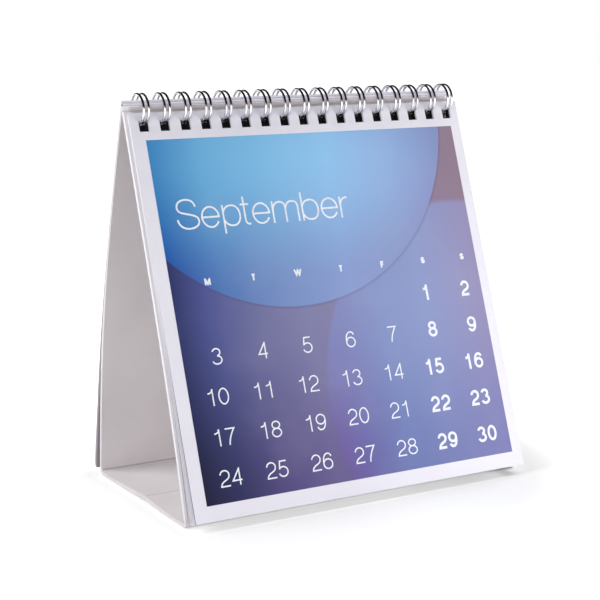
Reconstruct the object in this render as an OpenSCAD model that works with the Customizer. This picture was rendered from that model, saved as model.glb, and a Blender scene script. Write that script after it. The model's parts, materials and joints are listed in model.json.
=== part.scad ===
// Tent desk calendar: one folded card stand, a row of double wire loops and the month leaves on it.
// Origin: middle of the base on the desk. +Z is up, the month on show faces -Y, X runs along the wire.
// Side sections are drawn as [y, z] points and drawn out along X.

/* [Leaves] */
// Width of a leaf
leaf_w = 146.5; // [100:0.5:210]
// Height of a leaf from its top edge to its foot
leaf_h = 150.5; // [110:0.5:210]
// Thickness of a leaf
leaf_t = 0.15; // [0.1:0.01:0.3]
// Months still to come, behind the month on show
leaves_left = 3; // [2:1:6]
// Past months turned to the back, under the last one turned
leaves_turned = 7; // [2:1:9]
// Air between a leaf that turns and the leaves beside it, at the wire
leaf_gap = 0.3; // [0.2:0.05:0.6]
// How far the month on show hangs in front of the ring axis
month_offset = 1.05; // [0.8:0.05:2]
// Height of the month leaf's foot above the desk
foot_gap = 3.3; // [2:0.1:10]
// Angle that each month to come falls back behind the one in front of it
left_fan = 0.7; // [0:0.05:0.75]
// Height at which the months to come start to fall back
left_bend_z = 100; // [80:1:115]
// How much steeper the turned leaves stand at their feet than at the wire
turned_bend = 8.5; // [6:0.1:9]
// Angle that each turned leaf stands off the one under it
turned_fan = 0.05; // [0:0.05:0.3]
// How far the turned leaves stay pushed up on the wire, at most
turned_rise = 1.2; // [0:0.1:2]

/* [Stand] */
// How far the stand is wider than the leaves, at each side
stand_margin = 0.75; // [0:0.05:4]
// Thickness of the stand's card
card_t = 1.4; // [0.8:0.1:2]
// Lean of the front panel at its top, in degrees
front_lean = 20; // [16:0.5:26]
// How much steeper the front panel stands at its fold
front_bend = 5.5; // [0:0.5:10]
// Height of the front panel's bend
front_bend_z = 48; // [30:1:70]
// Lean of the back panel at its top, in degrees
back_lean = 16.2; // [10:0.2:22]
// How much steeper the back panel stands at its fold
back_bend = 13; // [9:0.1:15]
// Height of the back panel's bend
back_bend_z = 66; // [45:1:85]
// How tightly the panels bend, from 0 for a long curve to 1 for a kink
bend_pull = 0.85; // [0.4:0.05:0.9]
// Radius of the front fold at the card's middle
front_fold_r = 1; // [0.9:0.1:4]
// Radius of the back fold at the card's middle
back_fold_r = 2.6; // [0.9:0.1:4]
// Width of the flat strip beside each fold, which stands on the desk
rest_strip = 12; // [6:1:20]
// How far the crease along the base stands up
crease_rise = 1.2; // [0.4:0.1:3]
// How far the crease lies in front of the base's middle
crease_front = 4; // [0:0.5:8]
// How far behind the ring axis the two panels meet
apex_back = 2.2; // [1.8:0.1:3]
// How far below the ring axis the two panels meet
apex_drop = 1.3; // [0.6:0.1:2]
// Half of the air between the panels where they meet
apex_gap = 0.08; // [0.05:0.01:0.3]

/* [Punched holes] */
// Side of a square hole
hole_size = 4; // [3.4:0.1:4.5]
// Distance from one hole to the next
hole_pitch = 8.467; // [8:0.001:12]
// Distance from a hole's middle to the sheet's top edge
hole_edge = 5.2; // [4.6:0.1:6]
// Least distance from the last hole's middle to the sheet's side
hole_side = 5; // [4:0.1:8]

/* [Wire] */
// Thickness of the wire
wire_d = 0.9; // [0.7:0.05:1.1]
// Distance between the two strands of a loop
loop_gap = 2; // [1.6:0.1:2.2]
// Radius of the bends where a strand runs into the link to the next loop
elbow_r = 0.9; // [0.7:0.1:1.4]
// Distance from the outermost leaf to the wire's middle
ring_slack = 0.85; // [0.7:0.05:2]
// Air between the wire and the edge of a hole that hangs on it
hang_gap = 0.15; // [0.1:0.05:0.3]
// Where the links lie on the ring, inside the stand, in degrees from the back
seam_angle = 291; // [288:1:294]

/* [Hidden] */
$fn = 48;
FRONT = -1;
BACK = 1;
curve_steps = 14;
fold_steps = 6;
// Leaves in one stack overlap by this much where they lie tight
tight = 0.01;
// Air between the back panel and the turned leaves
back_gap = 0.05;
punch_over = 0.3;

// Directions of a sheet that leans away from upright: out of its face, and down along it
function out(side, lean) = [side * cos(lean), sin(lean)];
function down(side, lean) = [side * sin(lean), -cos(lean)];

// Sheets are placed by the distance from the ring axis out to their middle
apex = [apex_back, -apex_drop];
front_d = apex * out(FRONT, front_lean) + apex_gap + card_t / 2;
back_d = apex * out(BACK, back_lean) + apex_gap + card_t / 2;
left_t = leaves_left * leaf_t;
left_d = month_offset - leaf_t / 2 - leaf_gap - left_t / 2;
turned_t = leaves_turned * leaf_t;
turned_d = back_d + card_t / 2 + back_gap + turned_t / 2;
last_d = turned_d + turned_t / 2 + leaf_gap + leaf_t / 2;
ring_r = last_d + ring_slack;

// Where the ring crosses a sheet, how much of a hole the wire takes up there, and the hole's place
function ring_cross(d) = sqrt(ring_r * ring_r - d * d);
function wire_reach(d, t) = (wire_d / 2 + t / 2 * abs(d) / ring_r) * ring_r / ring_cross(d);
function hung_hole(d, t) = ring_cross(d) + hole_size / 2 - wire_reach(d, t) - hang_gap;
month_hole = hung_hole(month_offset, leaf_t);
left_hole = hung_hole(left_d, left_t);
// Pushed up, the turned leaves still clear the wire above them
last_hung = hung_hole(last_d, leaf_t);
last_top = hole_edge - ring_cross(last_d) + wire_reach(last_d, leaf_t) + hang_gap;
turned_up = max(0, min(turned_rise, last_hung - last_top));
turned_hole = hung_hole(turned_d, turned_t) - turned_up;
last_hole = last_hung - turned_up;
front_hole = apex * down(FRONT, front_lean) + hole_edge;
back_hole = ring_cross(back_d);

// The month leaf's foot sets the height of the ring axis
month_foot = month_hole + leaf_h - hole_edge;
axis_z = foot_gap + month_foot * cos(front_lean) - month_offset * sin(front_lean);

// Curve from a sheet's top to its foot, pulled towards the corner where its two straight runs meet
function curve(top, corner, foot) = [
    for (i = [0 : curve_steps])
        let (t = i / curve_steps, u = 1 - t)
        let (a = top + bend_pull * (corner - top), b = foot + bend_pull * (corner - foot))
        u * u * u * top + 3 * u * u * t * a + 3 * u * t * t * b + t * t * t * foot
];
function run_to(start, z, side, lean) = start + (start[1] - z) / cos(lean) * down(side, lean);
function sheet_top(axis, side, d, lean, hole) =
    axis + d * out(side, lean) + (hole - hole_edge) * down(side, lean);
function panel_curve(axis, side, d, lean, bend, bend_z, hole, fold_r) =
    let (top = sheet_top(axis, side, d, lean, hole))
    let (corner = run_to(top, bend_z, side, lean))
    let (foot = run_to(corner, card_t / 2 + fold_r + fold_r * sin(lean - bend), side, lean - bend))
    curve(top, corner, foot);
function leaf_curve(axis, side, d, lean, bend, bend_z, hole) =
    let (top = sheet_top(axis, side, d, lean, hole))
    let (corner = run_to(top, bend_z, side, lean))
    let (foot = corner + (leaf_h - norm(corner - top)) * down(side, lean - bend))
    curve(top, corner, foot);

// Middles of the stand's folds for a ring axis at y, which then moves until the base lies about the origin
front_foot_lean = front_lean - front_bend;
back_foot_lean = back_lean - back_bend;
function front_curve(y) =
    panel_curve([y, axis_z], FRONT, front_d, front_lean, front_bend, front_bend_z, front_hole, front_fold_r);
function back_curve(y) =
    panel_curve([y, axis_z], BACK, back_d, back_lean, back_bend, back_bend_z, back_hole, back_fold_r);
function front_fold(y) = front_curve(y)[curve_steps][0] - front_fold_r * out(FRONT, front_foot_lean)[0];
function back_fold(y) = back_curve(y)[curve_steps][0] - back_fold_r * out(BACK, back_foot_lean)[0];
base_middle = (front_fold(0) - front_fold_r + back_fold(0) + back_fold_r) / 2;
axis = [-base_middle, axis_z];
front_fold_y = front_fold(axis[0]);
back_fold_y = back_fold(axis[0]);

function fold_arc(y, fold_r, from, to) = [
    for (i = [1 : fold_steps])
        let (a = from + (to - from) * i / fold_steps)
        [y + fold_r * cos(a), card_t / 2 + fold_r + fold_r * sin(a)]
];
function reversed(list) = [for (i = [len(list) - 1 : -1 : 0]) list[i]];

base_line = [
    [front_fold_y + rest_strip, card_t / 2],
    [-crease_front, card_t / 2 + crease_rise],
    [back_fold_y - rest_strip, card_t / 2]
];
stand_line = concat(
    front_curve(axis[0]),
    fold_arc(front_fold_y, front_fold_r, 180 - front_foot_lean, 270),
    base_line,
    reversed(fold_arc(back_fold_y, back_fold_r, back_foot_lean, -90)),
    reversed(back_curve(axis[0]))
);

// Outline of a strip of even thickness along a line of points, with mitred corners
function left_of(a, b) = [a[1] - b[1], b[0] - a[0]] / norm(b - a);
function mitre(line, i) =
    let (last = len(line) - 1)
    let (n1 = left_of(line[max(i, 1) - 1], line[max(i, 1)]))
    let (n2 = left_of(line[min(i, last - 1)], line[min(i, last - 1) + 1]))
    (n1 + n2) / (1 + n1 * n2);
function strip(line, t) = concat(
    [for (i = [0 : len(line) - 1]) line[i] + mitre(line, i) * t / 2],
    reversed([for (i = [0 : len(line) - 1]) line[i] - mitre(line, i) * t / 2])
);

// Turns of the wire along the ring: from the links to the strands' roots and from the tips' ends back
elbow_turn = 2 * asin(elbow_r / ring_r / 2);
tip_turn = 2 * asin(loop_gap / ring_r / 2);
root_angle = seam_angle + elbow_turn;
tip_angle = seam_angle - tip_turn + 360;
link_length = hole_pitch - loop_gap - 2 * elbow_r;
bend_d = wire_d + 0.02;
bend_lap = 0.05;
lap_turn = 2 * asin(bend_lap / ring_r / 2);

half_count = floor((leaf_w / 2 - hole_side) / hole_pitch);
hole_places = [for (i = [-half_count : half_count]) i * hole_pitch];

module across(width) {
    rotate([90, 0, 90])
        linear_extrude(height = width, center = true)
            children();
}

// The row of square holes through one sheet or stack
module punch(side, d, lean, hole, t) {
    place = axis + d * out(side, lean) + hole * down(side, lean);
    for (x = hole_places)
        translate([x, place[0], place[1]])
            rotate([side * lean, 0, 0])
                cube([hole_size, t + 2 * punch_over, hole_size], center = true);
}

// One sheet of card, scored and folded: front panel, base with a raised crease, back panel
module stand() {
    color("gainsboro")
        difference() {
            across(leaf_w + 2 * stand_margin)
                polygon(strip(stand_line, card_t));
            punch(FRONT, front_d, front_lean, front_hole, card_t);
            punch(BACK, back_d, back_lean, back_hole, card_t);
        }
}

// Part of a wire ring about the axis of its own place, from one angle to another
module wire_arc(radius, from, to, thick) {
    rotate([0, 0, from])
        rotate_extrude(angle = to - from)
            translate([radius, 0])
                circle(d = thick);
}

// Puts a bend of wire at a place on the ring: its first axis along X, its second along the ring
module on_ring(x, angle) {
    translate([x, axis[0], axis[1]])
        rotate([angle, 0, 0])
            translate([0, ring_r, 0])
                rotate([90, 0, 0])
                    children();
}

// One wire bent into double loops: round tips, and links that join each loop to the next.
// The tight bends are a hair thicker, and the runs between them end inside them.
module wire_binding() {
    color("silver") {
        for (x = hole_places) {
            for (strand = [-1, 1])
                translate([x + strand * loop_gap / 2, axis[0], axis[1]])
                    rotate([90, 0, 90])
                        wire_arc(ring_r, root_angle - lap_turn, tip_angle + lap_turn, wire_d);
            on_ring(x, tip_angle)
                wire_arc(loop_gap / 2, 0, 180, bend_d);
        }
        for (i = [1 : len(hole_places) - 1]) {
            on_ring(hole_places[i - 1] + loop_gap / 2 + elbow_r, root_angle)
                wire_arc(elbow_r, 180, 270, bend_d);
            on_ring(hole_places[i] - loop_gap / 2 - elbow_r, root_angle)
                wire_arc(elbow_r, 270, 360, bend_d);
            on_ring(hole_places[i - 1] + loop_gap / 2 + elbow_r - bend_lap, root_angle)
                translate([0, -elbow_r, 0])
                    rotate([0, 90, 0])
                        cylinder(h = link_length + 2 * bend_lap, d = wire_d);
        }
    }
}

// The month on show
module month_leaf() {
    line = leaf_curve(axis, FRONT, month_offset, front_lean, 0, left_bend_z, month_hole);
    color("lightsteelblue")
        difference() {
            across(leaf_w)
                polygon(strip(line, leaf_t));
            punch(FRONT, month_offset, front_lean, month_hole, leaf_t);
        }
}

// The months to come, tight at the wire and fanned below it
module remaining_leaves() {
    color("white")
        difference() {
            across(leaf_w)
                for (i = [1 : leaves_left]) {
                    d = left_d + left_t / 2 - (i - 0.5) * leaf_t;
                    line = leaf_curve(axis, FRONT, d, front_lean, i * left_fan, left_bend_z, left_hole);
                    polygon(strip(line, leaf_t + tight));
                }
            punch(FRONT, left_d, front_lean, left_hole, left_t);
        }
}

// Bend of the turned leaf with that many leaves over it
function turned_bend_under(over) = turned_bend + over * turned_fan;

// The past months, tight together over the back panel and standing off it at their feet
module turned_leaves() {
    color("lavender")
        difference() {
            across(leaf_w)
                for (i = [1 : leaves_turned]) {
                    d = turned_d - turned_t / 2 + (i - 0.5) * leaf_t;
                    bend = turned_bend_under(leaves_turned + 1 - i);
                    line = leaf_curve(axis, BACK, d, back_lean, bend, back_bend_z, turned_hole);
                    polygon(strip(line, leaf_t + tight));
                }
            punch(BACK, turned_d, back_lean, turned_hole, turned_t);
        }
}

// The month turned last, on the outside at the back
module last_turned_leaf() {
    line = leaf_curve(axis, BACK, last_d, back_lean, turned_bend, back_bend_z, last_hole);
    color("ghostwhite")
        difference() {
            across(leaf_w)
                polygon(strip(line, leaf_t));
            punch(BACK, last_d, back_lean, last_hole, leaf_t);
        }
}

stand();
wire_binding();
month_leaf();
remaining_leaves();
turned_leaves();
last_turned_leaf();
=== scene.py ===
import json
import math

import bpy
from mathutils import Matrix, Vector
from mathutils.geometry import delaunay_2d_cdt


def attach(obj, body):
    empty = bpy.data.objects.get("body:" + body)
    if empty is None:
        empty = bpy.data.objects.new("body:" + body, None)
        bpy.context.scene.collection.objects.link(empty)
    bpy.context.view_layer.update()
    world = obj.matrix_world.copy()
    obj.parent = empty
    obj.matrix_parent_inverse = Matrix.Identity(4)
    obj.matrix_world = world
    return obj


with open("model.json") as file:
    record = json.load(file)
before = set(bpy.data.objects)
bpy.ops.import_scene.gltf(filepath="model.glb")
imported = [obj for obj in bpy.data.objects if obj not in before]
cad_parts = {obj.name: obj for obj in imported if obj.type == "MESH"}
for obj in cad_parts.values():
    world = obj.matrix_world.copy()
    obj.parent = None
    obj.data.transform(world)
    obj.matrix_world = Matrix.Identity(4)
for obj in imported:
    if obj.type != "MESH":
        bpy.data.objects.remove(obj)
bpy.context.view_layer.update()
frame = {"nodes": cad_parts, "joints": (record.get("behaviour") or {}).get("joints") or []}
MM = 0.001

# Camera, found from the holes, the print's corners and the stand's feet: metres, degrees, and mm of lens
CAMERA_AT = (-0.30696, -0.511256, 0.1849)
CAMERA_YAW = 30.62
CAMERA_PITCH = 10.94
CAMERA_ROLL = 0.12
CAMERA_LENS = 92.83
SENSOR = 36.0
CAMERA_CLIP = (0.01, 20.0)

# The month leaf's front face, in mm: u runs along the wire, v down the leaf from below the holes.
# HOLE_DROP is how far v begins below the wire's axis, and FACE_OUT how far the face lies in front of it
WIRE_AXIS = next(j["pos_m"] for j in frame["joints"] if j["name"] == "month_turn")
LEAN = math.radians(20)
HOLE_DROP = 6.832
FACE_OUT = 1.125
PRINT_LIFT = 0.02
INK_LIFT = 0.04
FIELD_U = (-67.95, 68.75)
FIELD_V = (5.25, 139.58)

# Painted shade and light on the card, in metres. A pair is where a mark begins and where it is full, or a
# band's two sides
FINE_EDGE = 0.0001
CREASE_Y = -0.004
BACK_FOLD_Y = 0.0361
# Painted shade along the base's crease and its back fold
CREASE_SHADE_HALF = 0.0002
CREASE_SHADE_SIDE = 0.0737
CREASE_SHADE_TOP = (0.0045, 0.0035)
CREASE_SHADE_STRENGTH = 0.5
CREASE_PAINTED_SHADE = "7d7276"
# Painted light: the card lighter near the apex
APEX_Z = (WIRE_AXIS[2] - 0.0045, WIRE_AXIS[2] - 0.0015)
APEX_PAINTED_LIGHT = "f6f3f9"
# Painted shade on the stand's inside
INSIDE_Y = (0.0, 0.002)
INSIDE_Z = (0.05, 0.13)
INSIDE_PAINTED_SHADE = "d6d0d3"
FRONT_Y = (0.001, -0.001)
FRONT_SLOPE = (-0.042, -0.0432)
FRONT_FOOT = (0.002, 0.005)
# Painted light on the front panel's side margins and cut edges
MARGIN_X = 0.071
MARGIN_SOFT = 0.001
MARGIN_PAINTED_LIGHT = "fbf9fe"
CUT_EDGE_PAINTED_LIGHT = "eceaf0"
# Painted gap shadow: a thin line on the front panel, and on the first leaf under the month
CARD_GAP_SHADOW_X = (0.0727, 0.0731)
GAP_SHADOW_FADE = (0.07, 0.035)
GAP_SHADOW_STRENGTH = 0.6
GAP_PAINTED_SHADOW = "948e9a"
# Painted shade inside the fold behind the holes
GLOOM_X = (-0.0699, 0.0725)
GLOOM_FOOT = (WIRE_AXIS[2] - 0.016, WIRE_AXIS[2] - 0.0085)
GLOOM_TOP = (WIRE_AXIS[2] - 0.0027, WIRE_AXIS[2] - 0.0033)
HOLE_PAINTED_SHADE = "1f1d22"

# Painted shade on the leaves, in metres: how the first leaf under the month stands off, and where the painted
# shades fade out
# Painted gap shadow on the first leaf under the month
STRIP_X = (0.0712, 0.07272)
STRIP_TAPER = 0.0036
STRIP_OPEN = 0.0206
STRIP_SLOPE = (-0.0434, -0.0436)
EDGE_SHADE_FADE = (0.085, 0.04)
FACE_SHADE_TOP = (0.132, 0.12)
# Normals between which a face counts as a cut edge, or as a leaf's front
CUT_NORMAL = (0.5, 0.8)
FRONT_NORMAL = (-0.5, -0.8)
# Prints of other months: hues (0.5 keeps the hue), strength of colour, softness of the edge in mm
NEXT_HUE = 0.4
PAST_HUE = 0.6
OTHER_SATURATION = 0.85
PRINT_SOFT = 0.1

# Light and shaded whites of the leaves, the leaves to come (whiter, as painted light) and the card, and
# painted shade on leaves' edges
WHITE = "f2f0f9"
SHADED = "ebe8f3"
# Painted light: the leaves to come are whiter than the month leaf, against the shade between them
NEXT_PAINTED_LIGHT_WHITE = "fcfbff"
NEXT_PAINTED_LIGHT_SHADED = "f8f6ff"
CARD_WHITE = "e9e4e6"
CARD_SHADED = "dfdadc"
# Painted shade on the leaves' cut edges
MONTH_EDGE_PAINTED_SHADE = "a09aa6"
NEXT_EDGE_PAINTED_SHADE = "b9b3c0"
PAST_EDGE_PAINTED_SHADE = "968e94"
# Painted shade on the turned leaves' inner faces
PAST_FACE_PAINTED_SHADE = "a29aa0"
FIBRE_SHADE = "8a8488"
FIBRE_STRENGTH = 0.06
WIRE_SHADES = ("b0b0b5", "c9c9ce")
INK_SHADES = ("e9ecf8", "fafcff")
PRINT_WASH = 0.03

# Finishes: roughness or its range, level of the sheen, strength and height of the grain in metres
LEAF_ROUGHNESS = 0.5
CARD_ROUGHNESS = 0.62
ROUGHNESS_SPREAD = 0.06
WIRE_ROUGHNESS = (0.09, 0.2)
PRINT_ROUGHNESS = (0.4, 0.5)
INK_ROUGHNESS = (0.4, 0.55)
PAPER_SHEEN = 0.2
INK_SHEEN = 0.3
PAPER_BUMP = (0.12, 0.00006)
WIRE_BUMP = (0.08, 0.00002)
PRINT_BUMP = (0.08, 0.00004)

# Noise scales, in repeats per metre
PAPER_CLOUDS = 28.0
CARD_FIBRE = 1500.0
LEAF_FIBRE = 2400.0
WIRE_CLOUDS = 160.0
WIRE_MARKS = 2600.0
PRINT_CLOUDS = 45.0
PRINT_GRAIN = 2200.0
INK_GRAIN = 900.0
FLOOR_CLOUDS = 6.0
ROOM_CLOUDS = 1.5

# Fields of the print, in mm: centre, half width, half width over half height, softness of the edge
FIRST_DISC = (-13.93, -4.77, 76.8, 1.0, 0.2)
SECOND_DISC = (59.5, 112.5, 70.0, 0.915, 1.2)
# Where each field turns from its upper colours to its lower ones, and the shade round the first disc
GROUND_V = (70.0, 142.0)
FIRST_V = (12.0, 68.0)
SECOND_V = (68.0, 142.0)
RIM_WIDTH = 1.4
RIM_STRENGTH = 0.25
RIM_SHADE = "4a3a66"
# Colours of the print from its left to its right, near its top and near its foot
GROUND_TOP = [
    (0.0, "2e366a"), (0.1, "515897"), (0.25, "7273a2"), (0.4, "8282ac"), (0.6, "897ea5"), (1.0, "947f91"),
]
GROUND_LOW = [(0.0, "060634"), (0.1, "222457"), (0.25, "4d427e"), (0.4, "64598e"), (1.0, "6d5a98")]
SECOND_TOP = [(0.35, "818cc2"), (0.5, "868cc1"), (0.65, "8999ca"), (0.8, "909ccb"), (1.0, "9891b9")]
SECOND_LOW = [(0.35, "70458d"), (0.5, "655ca2"), (0.65, "6877b2"), (0.8, "747cb4"), (1.0, "7a7ab2")]
FIRST_TOP = [
    (0.0, "418cca"), (0.15, "71b7e6"), (0.35, "86c5f1"), (0.55, "98cdf8"), (0.75, "98b8e8"), (0.95, "8a96c6"),
]
FIRST_LOW = [
    (0.0, "0a40a2"), (0.15, "5178ba"), (0.35, "7a93c8"), (0.55, "8b9ed2"), (0.75, "8f98c5"), (0.95, "9077b3"),
]
PRINT_STEPS = 68

# Lettering, in mm
COLUMN_U = -54.1
COLUMN_STEP = 19.13
INITIAL_SHIFT = 1.3
INITIAL_V = 59.25
ROW_V = 72.2
ROW_STEP = 14.66
DIGIT_H = 6.2
DIGIT_W = 4.3
DIGIT_STEP = 4.95
INITIAL_H = 2.55
TITLE_BASE = 39.55
TITLE_X_H = 8.35
TITLE_CAP_H = 11.6
LIGHT_STROKE = 0.54
BOLD_STROKE = 1.04
TITLE_STROKE = 0.70
INITIAL_STROKE = 0.72
# Limits of the stroke drawing: points that are one, runs in line, the longest corner tip, the weld of shapes
SAME_POINT = 1e-6
STRAIGHT = 1e-9
SHARPEST = 0.08
WELD = 1e-5
# The month: its weekdays, the columns where the weekend and its first day lie, and its days
WEEKDAYS = "MTWTFSS"
WEEKEND = 5
FIRST_COLUMN = 5
DAYS = 30

# Floor, in metres, and the glow that brings it up to white: in front, at the left, under the object, far out
FLOOR_HALF = 3.0
FLOOR_Z = -0.0002
FLOOR_GREYS = (0.80, 0.82)
FLOOR_FRONT = 0.15
FLOOR_RIGHT = (0.07, 0.0)
FLOOR_SIDE = 0.215
FLOOR_LEFT = (-0.07, -0.082)
FLOOR_UNDER = 0.3
UNDER_X = (-0.075, 0.064, 0.004)
UNDER_Y = (-0.046, 0.05, 0.003)
FLOOR_OUT = (0.082, 0.155)
# Dark room: half its width, and where its walls begin and end
ROOM_HALF = 2.2
ROOM_FROM = 0.2
ROOM_TO = 1.8
ROOM_GREYS = (0.02, 0.045)
WORLD_LIGHT = 0.198
# Lamps: name, place, target, size, power in watts, whether the wire mirrors them
LAMPS = [
    ("key", (0.20, -0.30, 0.10), (0.03, 0.0, 0.07), (0.2, 0.2), 0.51, True),
    ("left", (-0.5, 0.15, 0.5), (-0.45, 0.1, 0.0), (0.4, 0.4), 3.22, False),
    ("fill", (-0.62, -0.48, 0.14), (0.0, 0.0, 0.06), (0.4, 0.3), 1.72, True),
    ("right", (0.5, 0.1, 0.5), (0.35, -0.1, 0.0), (0.4, 0.4), 4.0, False),
]


def srgb(text):
    """Linear colour of a six-digit sRGB text."""
    values = [int(text[i:i + 2], 16) / 255 for i in (0, 2, 4)]
    return tuple(v / 12.92 if v <= 0.04045 else ((v + 0.055) / 1.055) ** 2.4 for v in values) + (1.0,)


def grey(level):
    """A linear grey."""
    return (level, level, level, 1.0)


def material(name):
    """A new node material, with its tree and its surface shader."""
    made = bpy.data.materials.new(name)
    made.use_nodes = True
    tree = made.node_tree
    return made, tree, tree.nodes["Principled BSDF"]


def add(tree, kind, **inputs):
    """A node of that kind; each input is a value or another node's socket."""
    made = tree.nodes.new(kind)
    for name, value in inputs.items():
        place = made.inputs[int(name[1:])] if name[0] == "_" else made.inputs[name]
        if isinstance(value, bpy.types.NodeSocket):
            tree.links.new(value, place)
        else:
            place.default_value = value
    return made


def math_node(tree, operation, a, b=0.0, clamp=False):
    """The result of one operation on sockets or numbers."""
    made = add(tree, "ShaderNodeMath", _0=a, _1=b)
    made.operation = operation
    made.use_clamp = clamp
    return made.outputs[0]


def times(tree, first, *others):
    """The product of sockets and numbers."""
    for other in others:
        first = math_node(tree, "MULTIPLY", first, other)
    return first


def ramp(tree, value, low, high):
    """0 at low, 1 at high, smooth between."""
    made = tree.nodes.new("ShaderNodeMapRange")
    made.interpolation_type = "SMOOTHSTEP"
    tree.links.new(value, made.inputs["Value"])
    made.inputs["From Min"].default_value = low
    made.inputs["From Max"].default_value = high
    return made.outputs["Result"]


def mix(tree, factor, a, b):
    """Colour a where the factor is 0, colour b where it is 1."""
    made = tree.nodes.new("ShaderNodeMix")
    made.data_type = "RGBA"
    for place, value in ((made.inputs[0], factor), (made.inputs[6], a), (made.inputs[7], b)):
        if isinstance(value, bpy.types.NodeSocket):
            tree.links.new(value, place)
        else:
            place.default_value = value
    return made.outputs[2]


def noise(tree, vector, scale, detail=2.0, rough=0.5):
    """A cloudy noise between 0 and 1."""
    made = add(tree, "ShaderNodeTexNoise", Scale=scale, Detail=detail, Roughness=rough)
    tree.links.new(vector, made.inputs["Vector"])
    return made.outputs["Fac"]


def colour_ramp(tree, value, stops):
    """A colour ramp with (place, sRGB text) stops."""
    made = tree.nodes.new("ShaderNodeValToRGB")
    made.color_ramp.interpolation = "LINEAR"
    keys = made.color_ramp.elements
    while len(keys) < len(stops):
        keys.new(0.5)
    for key, (place, text) in zip(keys, stops):
        key.position = place
        key.color = srgb(text)
    tree.links.new(value, made.inputs["Fac"])
    return made.outputs["Color"]


def bump(tree, shader, height, strength, distance):
    """A fine relief on the surface."""
    made = add(tree, "ShaderNodeBump", Strength=strength, Distance=distance, Height=height)
    tree.links.new(made.outputs["Normal"], shader.inputs["Normal"])


def uneven_gloss(tree, shader, value, low, high):
    """Roughness that wanders between two bounds with a noise."""
    spread = add(tree, "ShaderNodeMapRange", Value=value)
    spread.inputs["To Min"].default_value = low
    spread.inputs["To Max"].default_value = high
    tree.links.new(spread.outputs["Result"], shader.inputs["Roughness"])


def rest_coords(tree):
    """Where a point lies at rest, in metres."""
    return tree.nodes.new("ShaderNodeTexCoord").outputs["Object"]


def axis_of(tree, vector, name):
    """One axis of a vector socket."""
    return add(tree, "ShaderNodeSeparateXYZ", Vector=vector).outputs[name]


def between(tree, value, low, high, soft):
    """1 where a value lies between two bounds, 0 outside, soft at both ends."""
    rise = ramp(tree, value, low - soft, low + soft)
    fall = ramp(tree, value, high + soft, high - soft)
    return times(tree, rise, fall)


def cut_edges(tree):
    """1 on faces turned sideways, which are a sheet's cut edges."""
    normal = tree.nodes.new("ShaderNodeTexCoord").outputs["Normal"]
    return ramp(tree, math_node(tree, "ABSOLUTE", axis_of(tree, normal, "X")), *CUT_NORMAL)


def sheet_material(name, light, dark, roughness, fibre, marks):
    """White paper or card: cloudy colour, fine fibres, slightly uneven gloss, and its marks."""
    made, tree, shader = material(name)
    where = rest_coords(tree)
    clouds = noise(tree, where, PAPER_CLOUDS, 4.0)
    grain = noise(tree, where, fibre, 3.0, 0.65)
    tint = mix(tree, ramp(tree, clouds, 0.25, 0.75), srgb(dark), srgb(light))
    speck = ramp(tree, grain, 0.2, 0.5)
    tint = mix(tree, speck, mix(tree, FIBRE_STRENGTH, tint, srgb(FIBRE_SHADE)), tint)
    tree.links.new(marks(tree, where, tint), shader.inputs["Base Color"])
    uneven_gloss(tree, shader, clouds, roughness - ROUGHNESS_SPREAD, roughness + ROUGHNESS_SPREAD)
    shader.inputs["Specular IOR Level"].default_value = PAPER_SHEEN
    bump(tree, shader, grain, *PAPER_BUMP)
    return made


def score_mask(tree, x, y, z):
    """1 along the base's crease and its back fold, where shade is painted."""
    crease = between(tree, y, CREASE_Y - CREASE_SHADE_HALF, CREASE_Y + CREASE_SHADE_HALF, CREASE_SHADE_HALF)
    fold = between(tree, y, BACK_FOLD_Y, BACK_FOLD_Y + 2 * CREASE_SHADE_HALF, CREASE_SHADE_HALF)
    shaded_folds = math_node(tree, "ADD", crease, fold, True)
    within = between(tree, x, -CREASE_SHADE_SIDE, CREASE_SHADE_SIDE, FINE_EDGE)
    return times(tree, shaded_folds, within, ramp(tree, z, *CREASE_SHADE_TOP))


def hole_gloom(tree, x, z):
    """1 inside the fold behind the punched holes, where shade is painted."""
    across = between(tree, x, *GLOOM_X, FINE_EDGE)
    return times(tree, across, ramp(tree, z, *GLOOM_FOOT), ramp(tree, z, *GLOOM_TOP))


def front_panel(tree, y, z):
    """1 on the stand's front panel, above its foot."""
    slope = math_node(tree, "SUBTRACT", y, times(tree, z, math.tan(LEAN)))
    front = math_node(tree, "MAXIMUM", ramp(tree, y, *FRONT_Y), ramp(tree, slope, *FRONT_SLOPE))
    return times(tree, front, ramp(tree, z, *FRONT_FOOT))


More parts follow.
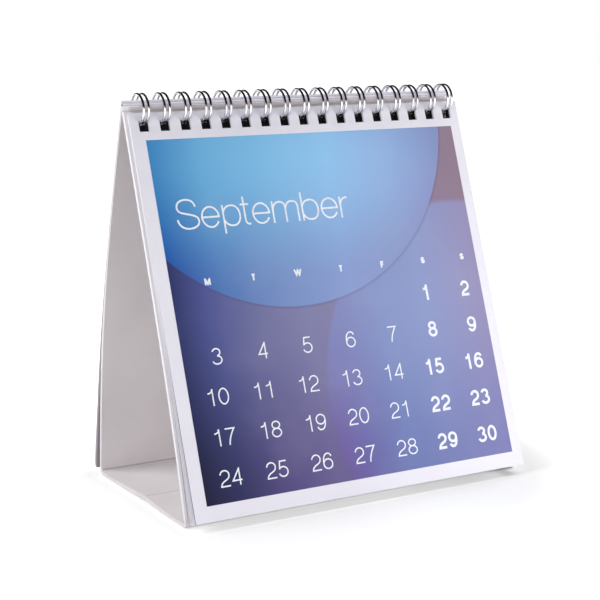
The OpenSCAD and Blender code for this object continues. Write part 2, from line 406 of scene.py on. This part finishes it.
def card_marks(tree, where, tint):
    """Painted shade along crease and back fold, painted light at the apex, painted shade inside, painted
    light on the front sides with a thin painted gap shadow, painted shade behind holes.
    """
    x, y, z = (axis_of(tree, where, name) for name in "XYZ")
    # Painted shade along the crease and the back fold
    crease_shade = times(tree, score_mask(tree, x, y, z), CREASE_SHADE_STRENGTH)
    tint = mix(tree, crease_shade, tint, srgb(CREASE_PAINTED_SHADE))
    # Painted light near the apex
    tint = mix(tree, ramp(tree, z, *APEX_Z), tint, srgb(APEX_PAINTED_LIGHT))
    # Painted shade on the stand's inside
    inside = times(tree, ramp(tree, y, *INSIDE_Y), ramp(tree, z, *INSIDE_Z))
    tint = mix(tree, inside, tint, srgb(INSIDE_PAINTED_SHADE))
    front = front_panel(tree, y, z)
    # Painted light on the front panel's side margins and cut edges
    margin = math_node(tree, "SUBTRACT", 1.0, between(tree, x, -MARGIN_X, MARGIN_X, MARGIN_SOFT))
    tint = mix(tree, times(tree, margin, front), tint, srgb(MARGIN_PAINTED_LIGHT))
    tint = mix(tree, times(tree, cut_edges(tree), front), tint, srgb(CUT_EDGE_PAINTED_LIGHT))
    # Painted gap shadow: a thin dark line on the front panel, low down
    line = between(tree, math_node(tree, "ABSOLUTE", x), *CARD_GAP_SHADOW_X, FINE_EDGE)
    line = times(tree, line, front, ramp(tree, z, *GAP_SHADOW_FADE), GAP_SHADOW_STRENGTH)
    tint = mix(tree, line, tint, srgb(GAP_PAINTED_SHADOW))
    # Painted shade inside the fold behind the holes
    return mix(tree, hole_gloom(tree, x, z), tint, srgb(HOLE_PAINTED_SHADE))


def first_strip(tree, where):
    """1 on the side margins of the first leaf under the month on show, low down where its foot stands off: a
    painted gap shadow.
    """
    x, y, z = (axis_of(tree, where, name) for name in "XYZ")
    outward = math_node(tree, "SUBTRACT", math_node(tree, "ABSOLUTE", x), times(tree, z, STRIP_TAPER))
    margin = between(tree, outward, *STRIP_X, FINE_EDGE)
    slope = math_node(tree, "SUBTRACT", y, times(tree, z, math.tan(LEAN) - STRIP_OPEN))
    return times(tree, margin, ramp(tree, slope, *STRIP_SLOPE), ramp(tree, z, *GAP_SHADOW_FADE))


def other_month(tree, where, hue):
    """Where another month's print lies on a leaf, and its colours."""
    u = math_node(tree, "DIVIDE", axis_of(tree, where, "X"), MM)
    below = math_node(tree, "SUBTRACT", WIRE_AXIS[2], axis_of(tree, where, "Z"))
    v = math_node(tree, "SUBTRACT", math_node(tree, "DIVIDE", below, MM * math.cos(LEAN)), HOLE_DROP)
    within = times(tree, between(tree, u, *FIELD_U, PRINT_SOFT), between(tree, v, *FIELD_V, PRINT_SOFT))
    field = print_field(tree, u, v)
    shifted = add(tree, "ShaderNodeHueSaturation", Hue=hue, Saturation=OTHER_SATURATION, Color=field)
    return within, shifted.outputs["Color"]


def leaf_marks(edge, fade=None, hue=None, face=None, paint_gap_shadow=False):
    """Marks for leaves: painted shade on cut edges, fading upwards if told, and what their fronts show,
    painted shade included.
    """
    def marks(tree, where, tint):
        z = axis_of(tree, where, "Z")
        normal = tree.nodes.new("ShaderNodeTexCoord").outputs["Normal"]
        front = ramp(tree, axis_of(tree, normal, "Y"), *FRONT_NORMAL)
        # Painted shade on the front face
        if face:
            tint = mix(tree, times(tree, front, ramp(tree, z, *FACE_SHADE_TOP)), tint, srgb(face))
        if hue:
            within, colours = other_month(tree, where, hue)
            tint = mix(tree, times(tree, front, within), tint, colours)
        # Painted gap shadow on the first leaf under the month
        if paint_gap_shadow:
            tint = mix(tree, times(tree, front, first_strip(tree, where)), tint, srgb(GAP_PAINTED_SHADOW))
        # Painted shade on the cut edges
        edges = cut_edges(tree)
        if fade:
            edges = times(tree, edges, ramp(tree, z, *fade))
        return mix(tree, edges, tint, srgb(edge))
    return marks


def wire_material():
    """Bright plated wire with faint drawing marks."""
    made, tree, shader = material("bright_wire")
    where = rest_coords(tree)
    marks = noise(tree, where, WIRE_MARKS)
    clouds = noise(tree, where, WIRE_CLOUDS)
    dark, light = (srgb(shade) for shade in WIRE_SHADES)
    shade = mix(tree, ramp(tree, clouds, 0.3, 0.7), dark, light)
    tree.links.new(shade, shader.inputs["Base Color"])
    uneven_gloss(tree, shader, clouds, *WIRE_ROUGHNESS)
    shader.inputs["Metallic"].default_value = 1.0
    bump(tree, shader, marks, *WIRE_BUMP)
    return made


def disc_mask(tree, u, v, centre_u, centre_v, radius, squeeze, soft):
    """1 inside a disc or oval of the print, 0 outside, soft at its edge; and how far from the centre."""
    du = math_node(tree, "SUBTRACT", u, centre_u)
    dv = times(tree, math_node(tree, "SUBTRACT", v, centre_v), squeeze)
    reach = math_node(tree, "SQRT", math_node(tree, "ADD", times(tree, du, du), times(tree, dv, dv)))
    return ramp(tree, reach, radius + soft, radius - soft), reach


def shaded_field(tree, across, v, turn, upper, lower):
    """Colours of one field: upper ones that turn into lower ones between two heights of the print."""
    return mix(tree, ramp(tree, v, *turn), colour_ramp(tree, across, upper), colour_ramp(tree, across, lower))


def print_field(tree, u, v):
    """Colours of a month's print at u, v in mm: a shaded ground, an oval and a disc with a shaded rim."""
    across = math_node(tree, "DIVIDE", math_node(tree, "SUBTRACT", u, FIELD_U[0]), FIELD_U[1] - FIELD_U[0])
    ground = shaded_field(tree, across, v, GROUND_V, GROUND_TOP, GROUND_LOW)
    second = shaded_field(tree, across, v, SECOND_V, SECOND_TOP, SECOND_LOW)
    first = shaded_field(tree, across, v, FIRST_V, FIRST_TOP, FIRST_LOW)
    in_second, _ = disc_mask(tree, u, v, *SECOND_DISC)
    in_first, reach = disc_mask(tree, u, v, *FIRST_DISC)
    field = mix(tree, in_second, ground, second)
    rim = ramp(tree, reach, FIRST_DISC[2] + RIM_WIDTH, FIRST_DISC[2])
    field = mix(tree, times(tree, rim, RIM_STRENGTH), field, srgb(RIM_SHADE))
    return mix(tree, in_first, field, first)


def print_material():
    """The print of the month on show."""
    made, tree, shader = material("month_print")
    uv = tree.nodes.new("ShaderNodeUVMap").outputs["UV"]
    part = add(tree, "ShaderNodeSeparateXYZ", Vector=uv)
    u = math_node(tree, "ADD", times(tree, part.outputs["X"], FIELD_U[1] - FIELD_U[0]), FIELD_U[0])
    v = math_node(tree, "ADD", times(tree, part.outputs["Y"], FIELD_V[1] - FIELD_V[0]), FIELD_V[0])
    field = print_field(tree, u, v)
    where = rest_coords(tree)
    clouds = noise(tree, where, PRINT_CLOUDS, 3.0)
    field = mix(tree, times(tree, ramp(tree, clouds, 0.45, 0.8), PRINT_WASH), field, grey(1.0))
    tree.links.new(field, shader.inputs["Base Color"])
    uneven_gloss(tree, shader, clouds, *PRINT_ROUGHNESS)
    shader.inputs["Specular IOR Level"].default_value = PAPER_SHEEN
    bump(tree, shader, noise(tree, where, PRINT_GRAIN, 3.0), *PRINT_BUMP)
    return made


def ink_material():
    """Bluish white of the lettering, with a fine grain."""
    made, tree, shader = material("lettering_white")
    grain = noise(tree, rest_coords(tree), INK_GRAIN, 3.0)
    dark, light = (srgb(shade) for shade in INK_SHADES)
    shade = mix(tree, ramp(tree, grain, 0.3, 0.7), dark, light)
    tree.links.new(shade, shader.inputs["Base Color"])
    uneven_gloss(tree, shader, grain, *INK_ROUGHNESS)
    shader.inputs["Specular IOR Level"].default_value = INK_SHEEN
    return made


def leaf_point(u, v, lift):
    """A point on the month leaf's front face, in metres."""
    out = FACE_OUT + lift
    down = HOLE_DROP + v
    y = WIRE_AXIS[1] - (out * math.cos(LEAN) + down * math.sin(LEAN)) * MM
    z = WIRE_AXIS[2] + (out * math.sin(LEAN) - down * math.cos(LEAN)) * MM
    return (u * MM, y, z)


def mesh_object(name, points, faces, look):
    """A new object in the scene, made of points and faces."""
    mesh = bpy.data.meshes.new(name)
    mesh.from_pydata(points, [], faces)
    mesh.materials.append(look)
    mesh.update()
    made = bpy.data.objects.new(name, mesh)
    bpy.context.scene.collection.objects.link(made)
    return made


def make_mesh(name, points, faces, look):
    """A piece of the part, in its material slot."""
    made = mesh_object(name, points, faces, look)
    return made


def make_print():
    """A fine sheet over the month leaf's printed field, with its own coordinates."""
    steps = PRINT_STEPS
    points, faces, places = [], [], []
    for row in range(steps + 1):
        for col in range(steps + 1):
            across, along = col / steps, row / steps
            u = FIELD_U[0] + across * (FIELD_U[1] - FIELD_U[0])
            v = FIELD_V[0] + along * (FIELD_V[1] - FIELD_V[0])
            points.append(leaf_point(u, v, PRINT_LIFT))
            places.append((across, along))
    for row in range(steps):
        for col in range(steps):
            at = row * (steps + 1) + col
            faces.append((at, at + steps + 1, at + steps + 2, at + 1))
    made = make_mesh("month_field", points, faces, print_material())
    layer = made.data.uv_layers.new(name="UVMap")
    for corner in made.data.loops:
        layer.data[corner.index].uv = places[corner.vertex_index]
    return made


def arc(cx, cy, rx, ry, start, end, steps=24):
    """Points of an ellipse's arc, in degrees."""
    turns = [math.radians(start + (end - start) * i / steps) for i in range(steps + 1)]
    return [(cx + rx * math.cos(t), cy + ry * math.sin(t)) for t in turns]


def bend(*knots, steps=10):
    """Points of joined cubic curves: a start, then three points for each curve."""
    points = [knots[0]]
    for i in range(1, len(knots), 3):
        a, b, c, d = knots[i - 1], knots[i], knots[i + 1], knots[i + 2]
        for s in range(1, steps + 1):
            t = s / steps
            k = ((1 - t) ** 3, 3 * t * (1 - t) ** 2, 3 * t * t * (1 - t), t ** 3)
            points.append(tuple(k[0] * a[n] + k[1] * b[n] + k[2] * c[n] + k[3] * d[n] for n in (0, 1)))
    return points


def loop(cx, cy, rx, ry):
    """Points of a whole ellipse."""
    return arc(cx, cy, rx, ry, 0, 360, 40)


def turned(strokes):
    """The same strokes turned half round."""
    return [[(1 - x, 1 - y) for x, y in s] for s in strokes]


SIX = [
    loop(0.5, 0.315, 0.5, 0.315),
    bend((0.94, 0.79), (0.88, 0.93), (0.74, 1.0), (0.55, 1.0), (0.2, 1.0), (0.0, 0.75), (0.0, 0.36)),
]
S_CURVE = bend(
    (0.91, 0.74), (0.88, 0.91), (0.72, 1.0), (0.48, 1.0), (0.22, 1.0), (0.04, 0.9), (0.04, 0.74),
    (0.04, 0.57), (0.24, 0.55), (0.5, 0.5), (0.8, 0.44), (1.0, 0.41), (1.0, 0.25),
    (1.0, 0.09), (0.78, 0.0), (0.52, 0.0), (0.22, 0.0), (0.02, 0.12), (0.0, 0.33),
)
BOWL = bend(
    (0.0, 0.64), (0.06, 0.87), (0.26, 1.0), (0.52, 1.0), (0.83, 1.0), (1.0, 0.78), (1.0, 0.5),
    (1.0, 0.22), (0.83, 0.0), (0.52, 0.0), (0.26, 0.0), (0.06, 0.13), (0.0, 0.36),
)
ARCH = bend((0.0, 0.6), (0.03, 0.85), (0.13, 1.0), (0.28, 1.0), (0.44, 1.0), (0.5, 0.87), (0.5, 0.68))

# Strokes of each sign, in a box one wide and one high
DIGITS = {
    "0": [loop(0.5, 0.5, 0.5, 0.5)],
    "1": [[(0.66, 0.0), (0.66, 1.0)], bend((0.14, 0.77), (0.4, 0.78), (0.6, 0.82), (0.64, 1.0))],
    "2": [
        arc(0.5, 0.71, 0.47, 0.29, 175, -15)
        + bend((0.95, 0.63), (0.9, 0.33), (0.06, 0.4), (0.02, 0.0)) + [(1.0, 0.0)]
    ],
    "3": [arc(0.47, 0.765, 0.41, 0.235, 168, -80), arc(0.48, 0.265, 0.5, 0.265, 85, -168)],
    "4": [[(0.76, 0.0), (0.76, 1.0), (0.0, 0.27), (1.0, 0.27)]],
    "5": [[(0.9, 1.0), (0.2, 1.0), (0.09, 0.5)] + arc(0.47, 0.315, 0.5, 0.315, 140, -162)],
    "6": SIX,
    "7": [[(0.0, 1.0)] + bend((1.0, 1.0), (0.66, 0.68), (0.4, 0.36), (0.34, 0.0))],
    "8": [loop(0.5, 0.77, 0.42, 0.23), loop(0.5, 0.27, 0.5, 0.27)],
    "9": turned(SIX),
}
INITIALS = {
    "M": [[(0.0, 0.0), (0.0, 1.0), (0.5, 0.05), (1.0, 1.0), (1.0, 0.0)]],
    "T": [[(0.0, 1.0), (1.0, 1.0)], [(0.5, 1.0), (0.5, 0.0)]],
    "W": [[(0.0, 1.0), (0.25, 0.0), (0.5, 0.95), (0.75, 0.0), (1.0, 1.0)]],
    "F": [[(1.0, 1.0), (0.0, 1.0), (0.0, 0.0)], [(0.0, 0.5), (0.85, 0.5)]],
    "S": [S_CURVE],
}
INITIAL_W = {"M": 2.5, "T": 2.1, "W": 3.3, "F": 1.8, "S": 1.9}
LETTERS = {
    "e": [[(0.01, 0.5)] + arc(0.5, 0.5, 0.5, 0.5, 0, 332, 36)],
    "p": [[(0.0, -0.34), (0.0, 1.0)], BOWL],
    "t": [bend((0.42, 1.34), (0.42, 1.0), (0.42, 0.6), (0.42, 0.3), (0.42, 0.08), (0.55, 0.0), (0.98, 0.02)),
          [(0.0, 1.0), (1.0, 1.0)]],
    "m": [[(0.0, 0.0), (0.0, 1.0)], ARCH + [(0.5, 0.0)], [(x + 0.5, y) for x, y in ARCH] + [(1.0, 0.0)]],
    "b": [[(0.0, 0.0), (0.0, 1.36)], BOWL],
    "r": [[(0.0, 0.0), (0.0, 1.0)], bend((0.0, 0.58), (0.1, 0.86), (0.4, 1.0), (1.0, 0.98))],
}
# The month's name: sign, where its strokes begin, how wide they are
TITLE = [
    ("S", -60.6, 8.6), ("e", -50.6, 7.0), ("p", -41.7, 6.95), ("t", -34.2, 3.6), ("e", -29.2, 7.0),
    ("m", -20.55, 10.95), ("b", -7.65, 6.95), ("e", 0.85, 7.0), ("r", 9.5, 3.4),
]


def stroke_shapes(line, width):
    """Flat shapes that cover a line of even width: a bar for each run and a wedge at each corner."""
    shapes, sides = [], []
    for a, b in zip(line, line[1:]):
        run = (Vector(b) - Vector(a)).normalized()
        side = Vector((-run.y, run.x)) * width / 2
        sides.append(side)
        shapes.append([Vector(a) - side, Vector(b) - side, Vector(b) + side, Vector(a) + side])
    closed = math.dist(line[0], line[-1]) < SAME_POINT
    joints = list(zip(line[1:-1], sides, sides[1:]))
    if closed:
        joints.append((line[0], sides[-1], sides[0]))
    for at, one, two in joints:
        turn = one.cross(two)
        if abs(turn) < STRAIGHT:
            continue
        sign = -1 if turn > 0 else 1
        tip = (one + two) * (width * width / 4) / max(SHARPEST * width * width, one.dot(one + two))
        wedge = [Vector(at), Vector(at) + sign * one, Vector(at) + sign * tip, Vector(at) + sign * two]
        shapes.append(wedge if sign < 0 else wedge[::-1])
    return shapes


def united(shapes):
    """Triangles of flat shapes, without overlaps."""
    points = [p for shape in shapes for p in shape]
    faces, start = [], 0
    for shape in shapes:
        faces.append(list(range(start, start + len(shape))))
        start += len(shape)
    made = delaunay_2d_cdt(points, [], faces, 0, WELD, True)
    return made[0], [face for face, held in zip(made[2], made[5]) if held]


def drawn_out(line, placed, stroke):
    """A placed line, its upright ends at the box's top or foot made longer by half a stroke."""
    for end, inner in ((0, 1), (-1, -2)):
        run = Vector(placed[end]) - Vector(placed[inner])
        if not 0 < line[end][1] < 1 and abs(run.y) > 2 * abs(run.x):
            placed[end] = tuple(Vector(placed[end]) + run.normalized() * stroke / 2)
    return placed


def write_sign(points, faces, strokes, left, base, width, height, stroke):
    """One sign, whose centre lines fill a box with that left side, base, width and height."""
    shapes = []
    for line in strokes:
        placed = [(left + x * width, base - y * height) for x, y in line]
        pairs = zip(placed[1:], placed)
        placed = placed[:1] + [p for p, before in pairs if math.dist(p, before) > SAME_POINT]
        shapes += stroke_shapes(drawn_out(line, placed, stroke), stroke)
    flat, triangles = united(shapes)
    first = len(points)
    points += [leaf_point(p.x, p.y, INK_LIFT) for p in flat]
    faces += [[first + i for i in reversed(face)] for face in triangles]


def write_number(points, faces, number, right, middle, stroke):
    """A date whose last digit is centred on its column."""
    text = str(number)
    width, height = DIGIT_W - stroke, DIGIT_H - stroke
    for place, sign in enumerate(text):
        centre = right - (len(text) - 1 - place) * DIGIT_STEP
        left, base = centre - width / 2, middle + height / 2
        write_sign(points, faces, DIGITS[sign], left, base, width, height, stroke)


def make_lettering():
    """The month's name, the weekday initials and the dates, as flat ink."""
    points, faces = [], []
    for sign, left, width in TITLE:
        strokes, height = ([S_CURVE], TITLE_CAP_H) if sign == "S" else (LETTERS[sign], TITLE_X_H)
        write_sign(points, faces, strokes, left, TITLE_BASE - TITLE_STROKE / 2, width,
                   height - TITLE_STROKE, TITLE_STROKE)
    for column, sign in enumerate(WEEKDAYS):
        centre = COLUMN_U + INITIAL_SHIFT + column * COLUMN_STEP
        width, height = INITIAL_W[sign] - INITIAL_STROKE, INITIAL_H - INITIAL_STROKE
        write_sign(points, faces, INITIALS[sign], centre - width / 2, INITIAL_V + height / 2, width,
                   height, INITIAL_STROKE)
    for day in range(1, DAYS + 1):
        row, column = divmod(day - 1 + FIRST_COLUMN, len(WEEKDAYS))
        stroke = BOLD_STROKE if column >= WEEKEND else LIGHT_STROKE
        write_number(points, faces, day, COLUMN_U + column * COLUMN_STEP, ROW_V + row * ROW_STEP, stroke)
    return make_mesh("month_lettering", points, faces, ink_material())


def seen_rays(tree):
    """1 for what the camera sees, straight or mirrored, and 0 for the light that reaches the object."""
    path = tree.nodes.new("ShaderNodeLightPath")
    seen = math_node(tree, "ADD", path.outputs["Is Camera Ray"], path.outputs["Is Glossy Ray"], True)
    return math_node(tree, "ADD", seen, path.outputs["Is Transmission Ray"], True)


def floor_glow(tree, where):
    """How much the floor glows: in front, at the left, under the object and far out."""
    x, y = (axis_of(tree, where, name) for name in "XY")
    away = add(tree, "ShaderNodeVectorMath", _0=where)
    away.operation = "LENGTH"
    glows = (
        times(tree, ramp(tree, x, *FLOOR_RIGHT), FLOOR_FRONT),
        times(tree, ramp(tree, x, *FLOOR_LEFT), FLOOR_SIDE),
        times(tree, between(tree, x, *UNDER_X), between(tree, y, *UNDER_Y), FLOOR_UNDER),
        ramp(tree, away.outputs["Value"], *FLOOR_OUT),
    )
    total = glows[0]
    for glow in glows[1:]:
        total = math_node(tree, "ADD", total, glow)
    return total


def make_floor():
    """A pale floor that keeps the shadow near the object and runs out into white."""
    made, tree, shader = material("floor_white")
    where = rest_coords(tree)
    dark, light = (grey(level) for level in FLOOR_GREYS)
    shade = mix(tree, noise(tree, where, FLOOR_CLOUDS, 3.0), dark, light)
    tree.links.new(shade, shader.inputs["Base Color"])
    shader.inputs["Roughness"].default_value = 0.7
    shader.inputs["Specular IOR Level"].default_value = 0.1
    shader.inputs["Emission Color"].default_value = grey(1.0)
    tree.links.new(times(tree, seen_rays(tree), floor_glow(tree, where)), shader.inputs["Emission Strength"])
    sides = [(-1, -1), (1, -1), (1, 1), (-1, 1)]
    corners = [(x * FLOOR_HALF, y * FLOOR_HALF, FLOOR_Z) for x, y in sides]
    floor = mesh_object("floor", corners, [(0, 1, 2, 3)], made)


def make_world():
    """Even fill light; the camera and mirrored rays see white."""
    world = bpy.data.worlds.new("studio")
    bpy.context.scene.world = world
    world.use_nodes = True
    tree = world.node_tree
    back = tree.nodes["Background"]
    back.inputs["Color"].default_value = grey(1.0)
    rise = times(tree, seen_rays(tree), 1.0 - WORLD_LIGHT)
    tree.links.new(math_node(tree, "ADD", rise, WORLD_LIGHT), back.inputs["Strength"])


def make_lamp(name, place, target, size, power, mirrored):
    """A soft lamp that looks at its target."""
    lamp = bpy.data.lights.new(name, "AREA")
    lamp.shape = "RECTANGLE"
    lamp.size, lamp.size_y = size
    lamp.energy = power
    made = bpy.data.objects.new(name, lamp)
    made.location = place
    aim = Vector(target) - Vector(place)
    made.rotation_euler = aim.to_track_quat("-Z", "Y").to_euler()
    made.visible_glossy = mirrored
    bpy.context.scene.collection.objects.link(made)


def make_dark_room():
    """Dark studio walls and ceiling, which are seen in mirrored rays alone."""
    made, tree, shader = material("dark_room")
    dark, light = (grey(level) for level in ROOM_GREYS)
    shade = mix(tree, noise(tree, rest_coords(tree), ROOM_CLOUDS), dark, light)
    tree.links.new(shade, shader.inputs["Base Color"])
    shader.inputs["Roughness"].default_value = 1.0
    shader.inputs["Specular IOR Level"].default_value = 0.0
    corners = [(-1, -1), (1, -1), (1, 1), (-1, 1)]
    points = [(x * ROOM_HALF, y * ROOM_HALF, z) for z in (ROOM_FROM, ROOM_TO) for x, y in corners]
    walls = [(i, (i + 1) % 4, (i + 1) % 4 + 4, i + 4) for i in range(4)]
    ceiling = (4, 5, 6, 7)
    room = mesh_object("dark_room", points, walls + [ceiling], made)
    room.visible_camera = False
    room.visible_diffuse = False
    room.visible_shadow = False
    room.visible_transmission = False


def make_camera():
    """The photo's camera."""
    yaw, pitch, roll = (math.radians(a) for a in (CAMERA_YAW, CAMERA_PITCH, CAMERA_ROLL))
    level = Vector((math.cos(yaw), -math.sin(yaw), 0.0))
    ahead = Vector((math.sin(yaw) * math.cos(pitch), math.cos(yaw) * math.cos(pitch), -math.sin(pitch)))
    above = level.cross(ahead)
    right = level * math.cos(roll) + above * math.sin(roll)
    up = right.cross(ahead)
    data = bpy.data.cameras.new("camera")
    data.lens = CAMERA_LENS
    data.sensor_width = SENSOR
    data.clip_start, data.clip_end = CAMERA_CLIP
    made = bpy.data.objects.new("camera", data)
    made.matrix_world = Matrix.Translation(CAMERA_AT) @ Matrix((right, up, -ahead)).transposed().to_4x4()
    bpy.context.scene.collection.objects.link(made)
    bpy.context.scene.camera = made


def dress(node, look):
    """Gives a CAD node its finish."""
    mesh = frame["nodes"][node].data
    mesh.materials.clear()
    mesh.materials.append(look)


dress("stand", sheet_material("stand_card", CARD_WHITE, CARD_SHADED, CARD_ROUGHNESS, CARD_FIBRE, card_marks))
dress("wire_binding", wire_material())
# Leaves: light and shaded white (painted light on the leaves to come), and their marks of painted shade and
# print
LOOKS = {
    "month_leaf": (WHITE, SHADED, leaf_marks(MONTH_EDGE_PAINTED_SHADE, EDGE_SHADE_FADE)),
    "remaining_leaves": (NEXT_PAINTED_LIGHT_WHITE, NEXT_PAINTED_LIGHT_SHADED, leaf_marks(NEXT_EDGE_PAINTED_SHADE, EDGE_SHADE_FADE, NEXT_HUE, paint_gap_shadow=True)),
    "turned_leaves": (WHITE, SHADED, leaf_marks(PAST_EDGE_PAINTED_SHADE, face=PAST_FACE_PAINTED_SHADE)),
    "last_turned_leaf": (WHITE, SHADED, leaf_marks(PAST_EDGE_PAINTED_SHADE, hue=PAST_HUE)),
}
for node, (light, dark, marks) in LOOKS.items():
    dress(node, sheet_material(node + "_paper", light, dark, LEAF_ROUGHNESS, LEAF_FIBRE, marks))
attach(make_print(), "month")
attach(make_lettering(), "month")

make_floor()
make_world()
make_dark_room()
for lamp in LAMPS:
    make_lamp(*lamp)
make_camera()

view = bpy.context.scene.view_settings
view.view_transform = "Standard"
